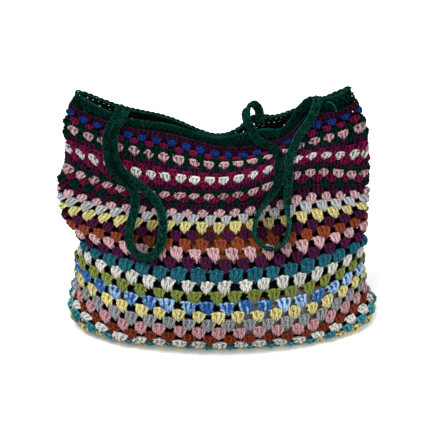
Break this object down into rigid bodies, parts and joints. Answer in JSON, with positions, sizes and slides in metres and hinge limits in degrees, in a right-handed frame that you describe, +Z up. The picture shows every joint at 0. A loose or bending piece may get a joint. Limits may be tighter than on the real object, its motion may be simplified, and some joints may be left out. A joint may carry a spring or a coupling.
{
  "type": "crochet tote bag",
  "caption": "Soft crocheted tote bag slumped upright and empty, striped rounds of clustered stitches with gaps, cloth lining, banded rim and two flat looped straps hanging down the front.",
  "frame": {"origin": "on the table, under the middle of the base", "axes": "+X to the viewer's right along the bag's width, -Y out of the front with the straps, +Z up"},
  "size_m": [0.404, 0.2156, 0.3168],
  "materials": {
    "bag_body": "wool yarn in striped rounds of many colours",
    "rim_band": "dark green wool yarn",
    "lining": "dark woven cotton",
    "strap_left": "dark green wool yarn",
    "strap_right": "dark green wool yarn",
    "yarn_tail": "dark green wool yarn"
  },
  "bodies": {
    "root": {"bag_body": "bag_body", "rim_band": "rim_band", "lining": "lining", "strap_left": "strap_left", "strap_right": "strap_right", "yarn_tail": "yarn_tail"}
  },
  "joints": []
}
